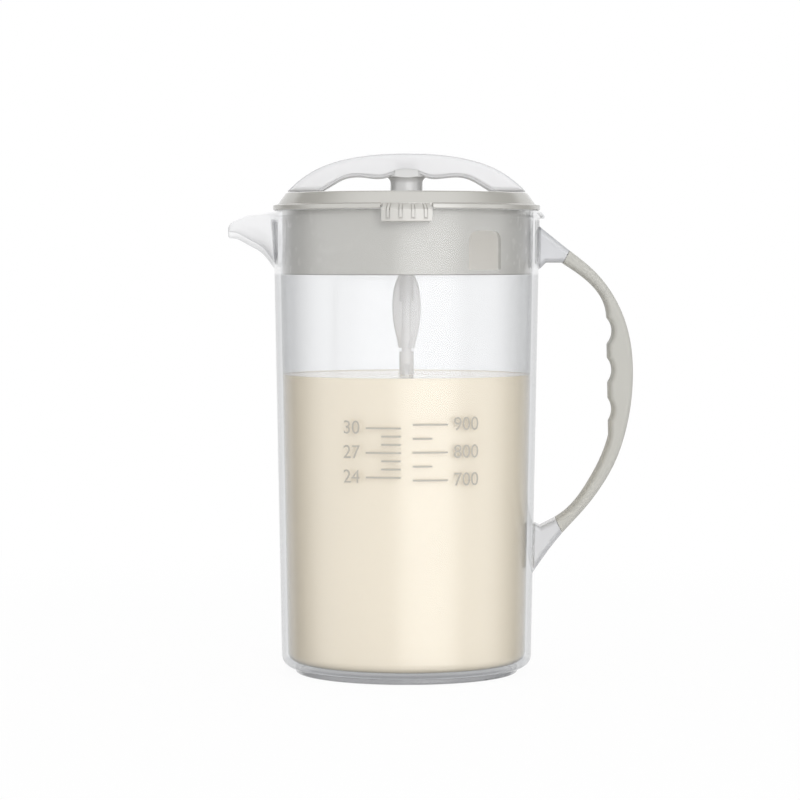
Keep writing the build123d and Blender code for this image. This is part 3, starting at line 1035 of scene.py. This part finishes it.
@dataclass
class FillScale:
    """Fill scale printed on the wall: ticks and numbers of two units.

    Attributes:
        depth: Thickness of the ink.
        lift: How far the ink's middle lies outside the wall, in thicknesses.
        line: Width of a tick.
        long_tick: Length of a numbered tick.
        short_share: Length of the ticks between, as a share.
        bends: Points along a tick, with which it follows the wall.
        digit: Height of the numbers.
        gap: From the middle of the front to a tick, and from there to its number.
        columns: The two units.
    """

    depth: float = 0.05 * MM
    lift: float = 0.3
    line: float = 0.8 * MM
    long_tick: float = 15.0 * MM
    short_share: float = 0.55
    bends: int = 9
    digit: float = 8.0 * MM
    gap: float = 2.5 * MM
    columns: tuple[Column, ...] = (
        Column(Side.LEFT, 88.2 * MM, 3.45 * MM, 7, 3, ("24", "27", "30")),
        Column(Side.RIGHT, 87.0 * MM, 5.85 * MM, 5, 2, ("700", "800", "900")),
    )

    def inputs(self, column: Column) -> dict[str, Input]:
        """Gives the tick tree's inputs.

        Args:
            column: The unit.

        Returns:
            The inputs by name.
        """
        return {
            "Count": column.count,
            "Ticks Per Number": column.per_number,
            "Bends": self.bends,
            "First Height": column.first,
            "Spacing": column.spacing,
            "Long Tick": self.long_tick,
            "Short Share": self.short_share,
            "Line": self.line,
            "Depth": self.depth,
            "Lift": self.lift,
            "Base Radius": WALL_R,
            "Taper": WALL_TAPER,
            "Start": self.gap,
            "Side": float(column.side.value),
            "Finish": INK.material(),
        }

    def tick_tree(self) -> bpy.types.NodeTree:
        """Builds the geometry tree that lays a ladder of ticks on the wall.

        Returns:
            The tree.
        """
        tree = bpy.data.node_groups.new("scale_ticks", "GeometryNodeTree")
        kinds = {int: "NodeSocketInt", float: "NodeSocketFloat"}
        names = []
        for name, given in self.inputs(self.columns[0]).items():
            kind = kinds.get(type(given), "NodeSocketMaterial")
            tree.interface.new_socket(name, in_out="INPUT", socket_type=kind)
            names.append(name)
        tree.interface.new_socket("Geometry", in_out="OUTPUT", socket_type="NodeSocketGeometry")
        graph = Graph(tree)
        group = graph.node("NodeGroupInput")
        take = {name: group.also(name) for name in names}

        def vector(x: Input, y: Input, z: Input) -> Value:
            """Joins three numbers into a vector."""
            return graph.node("ShaderNodeCombineXYZ", inputs={0: x, 1: y, 2: z})

        points = graph.node(
            "GeometryNodeMeshLine",
            {"mode": "OFFSET"},
            {
                "Count": take["Count"],
                "Start Location": vector(0.0, 0.0, take["First Height"]),
                "Offset": vector(0.0, 0.0, take["Spacing"]),
            },
        )
        size = vector(take["Long Tick"], take["Depth"], take["Line"])
        bar = graph.node(
            "GeometryNodeMeshCube", inputs={"Size": size, "Vertices X": take["Bends"]}
        )
        aside = vector(take["Long Tick"] * 0.5, 0.0, 0.0)
        bar = graph.node(
            "GeometryNodeTransform", inputs={"Geometry": bar, "Translation": aside}
        )
        place = graph.node("GeometryNodeInputIndex") % take["Ticks Per Number"]
        numbered = place.equals(0)
        share = numbered + (1 - numbered) * take["Short Share"]
        ladder = graph.node(
            "GeometryNodeInstanceOnPoints",
            inputs={"Points": points, "Instance": bar, "Scale": vector(share, 1.0, 1.0)},
        )
        ladder = graph.node("GeometryNodeRealizeInstances", inputs={0: ladder})
        x, y, z = graph.axes(graph.node("GeometryNodeInputPosition"))
        wall = take["Base Radius"] + take["Taper"] * z
        turn = (take["Start"] + x) * take["Side"] / wall
        skin = wall + y + take["Depth"] * take["Lift"]
        bent = vector(skin * turn.sine(), 0.0 - skin * turn.cosine(), z)
        ladder = graph.node(
            "GeometryNodeSetPosition", inputs={"Geometry": ladder, "Position": bent}
        )
        dressed = graph.node(
            "GeometryNodeSetMaterial", inputs={"Geometry": ladder, "Material": take["Finish"]}
        )
        graph.node("NodeGroupOutput", inputs={"Geometry": dressed})
        return tree

    def ticks(self, tree: bpy.types.NodeTree, column: Column) -> bpy.types.Object:
        """Makes one ladder of ticks.

        Args:
            tree: The tick tree.
            column: The unit.

        Returns:
            The ladder.
        """
        name = f"scale_ticks_{column.side.name.lower()}"
        made = shaped_by(tree, name, self.inputs(column))
        if column.side is Side.LEFT:
            made.data.flip_normals()
        return made

    def number(self, text: str, side: Side, height: float) -> bpy.types.Object:
        """Prints one number beyond its tick.

        Args:
            text: The digits.
            side: Its side of the jug's front.
            height: Height of the tick.

        Returns:
            The number as a mesh on the wall.
        """
        curve = bpy.data.curves.new("number", "FONT")
        curve.body = text
        curve.size = self.digit
        curve.align_x = "RIGHT" if side is Side.LEFT else "LEFT"
        curve.align_y = "CENTER"
        curve.extrude = self.depth / 2
        made = baked(linked("number", curve), f"scale_number_{text}")
        start = side.value * (2 * self.gap + self.long_tick)
        for vertex in made.data.vertices:
            x, y, z = vertex.co
            up = height + y
            wall = WALL_R + WALL_TAPER * up
            turn = (start + x) / wall
            skin = wall + z + self.lift * self.depth
            vertex.co = (skin * math.sin(turn), -skin * math.cos(turn), up)
        return INK.dress(made)

    def build(self) -> list[bpy.types.Object]:
        """Prints the scale.

        Returns:
            Its pieces.
        """
        tree = self.tick_tree()
        pieces = []
        for column in self.columns:
            pieces.append(self.ticks(tree, column))
            for index, text in enumerate(column.numbers):
                height = column.first + index * column.per_number * column.spacing
                pieces.append(self.number(text, column.side, height))
        for piece in pieces:
            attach(piece, JUG_BODY)
        return pieces


@dataclass
class Contents:
    """Formula in the jug, with a meniscus where it meets the wall.

    Attributes:
        node: The node that it stands for.
        slot: Name of a slot, which nothing here uses.
        heel: Round between the floor and the wall.
        climb: Height of the meniscus.
        curl: How far in from the wall the meniscus reaches.
        fall: How steeply the meniscus drops from the wall.
        crowding: How closely its rings crowd at the wall, 1 for evenly.
        floor_share: Place of the floor's ring, as a share of its radius.
        level_shares: Places of the surface's rings, as shares of its radius.
        heel_rings: Steps along the heel.
        wall_rings: Steps up the wall.
        curl_rings: Steps along the meniscus.
        steps: Points round it.
    """

    node: str = "formula_fill"
    slot: str = "formula"
    heel: float = 4.0 * MM
    climb: float = 0.3 * MM
    curl: float = 3.0 * MM
    fall: float = 4.5
    crowding: float = 1.6
    floor_share: float = 0.5
    level_shares: tuple[float, ...] = (0.6, 0.25, 0.0)
    heel_rings: int = 8
    wall_rings: int = 12
    curl_rings: int = 10
    steps: int = 160

    def outline(self) -> list[Span]:
        """Draws the liquid's half section.

        Returns:
            (radius, height) points from the floor's centre to the surface's.
        """
        low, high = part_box(self.node)
        floor, level, top_r = low.z, high.z, high.x
        floor_r = top_r - WALL_TAPER * (level - floor)
        points = [(0.0, floor), (floor_r * self.floor_share, floor)]
        for index in range(self.heel_rings + 1):
            turn = math.pi / 2 * index / self.heel_rings
            inset = self.heel * (1 - math.sin(turn))
            points.append((floor_r - inset, floor + self.heel * (1 - math.cos(turn))))
        for index in range(1, self.wall_rings + 1):
            rise = (level - floor - self.heel) * index / self.wall_rings
            height = floor + self.heel + rise
            points.append((floor_r + WALL_TAPER * (height - floor), height))
        lip_r = top_r + WALL_TAPER * self.climb
        for index in range(self.curl_rings + 1):
            inward = self.curl * (index / self.curl_rings) ** self.crowding
            rise = self.climb * math.exp(-self.fall * inward / self.curl)
            points.append((lip_r - inward, level + rise))
        return points + [(top_r * share, level) for share in self.level_shares]

    def build(self) -> list[bpy.types.Object]:
        """Makes the liquid.

        Returns:
            The liquid alone.
        """
        liquid = FORMULA.dress(lathe("formula_liquid", self.outline(), self.steps))
        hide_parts(self.node)
        return [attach(liquid, JUG_BODY)]


# ---- Studio ----
@dataclass(frozen=True)
class Softbox:
    """One rectangular studio lamp, which nothing mirrors.

    Attributes:
        name: The lamp's name.
        azimuth: Degrees from the camera's side towards the handle.
        distance: From the axis.
        height: Above the floor.
        size: Width and height.
        power: In watts.
    """

    name: str
    azimuth: float
    distance: float
    height: float
    size: Span
    power: float

    def build(self, target: Vector) -> bpy.types.Object:
        """Hangs the lamp.

        Args:
            target: What it points at.

        Returns:
            The lamp.
        """
        lamp = bpy.data.lights.new(self.name, "AREA")
        lamp.shape = "RECTANGLE"
        lamp.size, lamp.size_y = self.size
        lamp.energy = self.power
        made = linked(self.name, lamp)
        made.visible_glossy = False
        turn = math.radians(self.azimuth)
        across, ahead = self.distance * math.sin(turn), -self.distance * math.cos(turn)
        made.location = (across, ahead, self.height)
        made.rotation_euler = (target - made.location).to_track_quat("-Z", "Y").to_euler()
        return made


@dataclass
class Studio:
    """Floor, world, lamps and camera.

    The world has one strength as a light, and is mirrored with another that differs
    from side to side.  Its spans are of the direction's X, Y or Z, -1 to 1.

    Attributes:
        eye: Where the camera stands.
        aim: What it points at.
        lens: Focal length in millimetres.
        sensor: Width of the sensor in millimetres.
        near: Where the camera starts to see.
        floor_half: Half the floor's side.
        floor_tone: Its gray, 0 to 1, as the lamps light it.
        floor_glow: How far the floor shows plain white instead of its shadow.
        shadow_r: Radii between which the shadow fades out.
        fill: Strength of the world as a light.
        dim: Strength of the darkest sides, as mirrored.
        below: Extra strength below the horizon.
        horizon: Z between which that gives way to the other sides.
        front: Strength of the wide lights in front.
        front_y: Y between which they end.
        back: Strength of the light behind.
        back_y: Y between which it starts.
        crown: Extra strength of the light behind, high up.
        crown_z: Z between which that starts.
        glint: Strength of the tall soft light that the walls mirror.
        glint_azimuth: Its side, degrees from the camera's towards the handle.
        glint_edge: Cosine of its half width.
        glint_z: Z between which it ends.
        lamps: The softboxes.
    """

    eye: Vector = field(default_factory=lambda: Vector((-2.83, -1392.0, 181.0)) * MM)
    aim: Vector = field(default_factory=lambda: Vector((-2.83, 0.0, 118.3)) * MM)
    lens: float = 144.0
    sensor: float = 36.0
    near: float = 0.05
    floor_half: float = 6.0
    floor_tone: float = 0.9
    floor_glow: float = 0.95
    shadow_r: Span = (0.24, 0.6)
    fill: float = 0.75
    dim: float = 0.1
    below: float = 0.7
    horizon: Span = (-0.4, -0.15)
    front: float = 2.5
    front_y: Span = (-0.25, 0.4)
    back: float = 0.9
    back_y: Span = (0.6, 0.8)
    crown: float = 1.3
    crown_z: Span = (0.35, 0.6)
    glint: float = 2.8
    glint_azimuth: float = 20.0
    glint_edge: float = 0.8
    glint_z: Span = (0.5, 0.9)
    lamps: tuple[Softbox, ...] = (
        Softbox("key_softbox", azimuth=14, distance=2.2, height=0.4, size=(1.2, 2.0), power=20),
        Softbox("fill_softbox", azimuth=-60, distance=2.4, height=1.2, size=(1.4, 1.6), power=2),
        Softbox("top_softbox", azimuth=150, distance=0.6, height=2.4, size=(2.0, 1.2), power=8),
    )

    def floor(self) -> bpy.types.Object:
        """Lays a white floor that keeps a soft shadow and fades into the surround.

        Returns:
            The floor.
        """
        half = self.floor_half
        corners = [(-half, -half, 0.0), (half, -half, 0.0), (half, half, 0.0), (-half, half, 0.0)]
        made = mesh_object("studio_floor", corners, [(0, 1, 2, 3)])
        material = bpy.data.materials.new("floor_finish")
        material.use_nodes = True
        graph = Graph(material.node_tree)
        x, y, _ = graph.axes()
        far = radius(x, y).step(self.shadow_r)
        matte = graph.node(
            "ShaderNodeBsdfDiffuse", inputs={"Color": opaque(WHITE, self.floor_tone)}
        )
        glow = graph.node("ShaderNodeEmission", inputs={"Color": opaque(WHITE), "Strength": 1.0})
        rays = graph.node("ShaderNodeLightPath", output="Is Camera Ray")
        plain = self.floor_glow + far * (1 - self.floor_glow)
        seen = (rays + rays.also("Is Transmission Ray")) * plain
        graph.node("ShaderNodeOutputMaterial", inputs={"Surface": graph.mix(seen, matte, glow)})
        made.data.materials.append(material)
        made.visible_glossy = False
        return made

    def mirrored(self, graph: Graph) -> Value:
        """Works out how strongly each side of the world is mirrored.

        Args:
            graph: The world's graph.

        Returns:
            The strength.
        """
        x, y, z = graph.axes(graph.node("ShaderNodeTexCoord", output="Generated"))
        level = (x * x + y * y + 0.0001).root()  # the last term keeps it above 0 straight up
        turn = math.radians(self.glint_azimuth)
        toward = (x * math.sin(turn) - y * math.cos(turn)) / level
        glint = toward.step((self.glint_edge, 1.0)) * (1 - z.step(self.glint_z)) * self.glint
        front = (1 - y.step(self.front_y)) * self.front
        back = y.step(self.back_y) * (self.back + z.step(self.crown_z) * self.crown)
        above = z.step(self.horizon)
        return self.dim + (1 - above) * self.below + above * (front + back + glint)

    def world(self) -> None:
        """Sets a white surround, what it shines, and what is mirrored of it."""
        world = bpy.data.worlds.new("studio_world")
        world.use_nodes = True
        bpy.context.scene.world = world
        graph = Graph(world.node_tree)
        rays = graph.node("ShaderNodeLightPath", output="Is Camera Ray")
        white, soft, shown = (
            graph.node("ShaderNodeBackground", inputs={"Color": opaque(WHITE), "Strength": power})
            for power in (1.0, self.fill, self.mirrored(graph))
        )
        lit = graph.mix(rays.also("Is Glossy Ray"), soft, shown)
        surface = graph.mix(rays + rays.also("Is Transmission Ray"), lit, white)
        graph.node("ShaderNodeOutputWorld", inputs={"Surface": surface})

    def camera(self) -> bpy.types.Object:
        """Sets up the camera.

        Returns:
            The camera.
        """
        lens = bpy.data.cameras.new("studio_camera")
        lens.sensor_width = self.sensor
        lens.lens = self.lens
        lens.clip_start = self.near
        made = linked("studio_camera", lens)
        made.location = self.eye
        made.rotation_euler = (self.aim - self.eye).to_track_quat("-Z", "Y").to_euler()
        bpy.context.scene.camera = made
        return made

    def build(self) -> None:
        """Builds the studio."""
        bpy.context.scene.view_settings.view_transform = "Standard"
        self.floor()
        self.world()
        for lamp in self.lamps:
            lamp.build(self.aim)
        self.camera()


def main() -> None:
    """Builds the sub-assemblies and the studio in order and reports each piece."""
    logging.basicConfig(level=logging.INFO, format="%(name)s: %(message)s")
    for assembly in (Jug(), FillScale(), Contents(), Lid(), Mixer()):
        title = type(assembly).__name__
        for piece in assembly.build():
            LOG.info("%s: %s, %d faces", title, piece.name, len(piece.data.polygons))
    Studio().build()


if __name__ == "__main__":
    main()
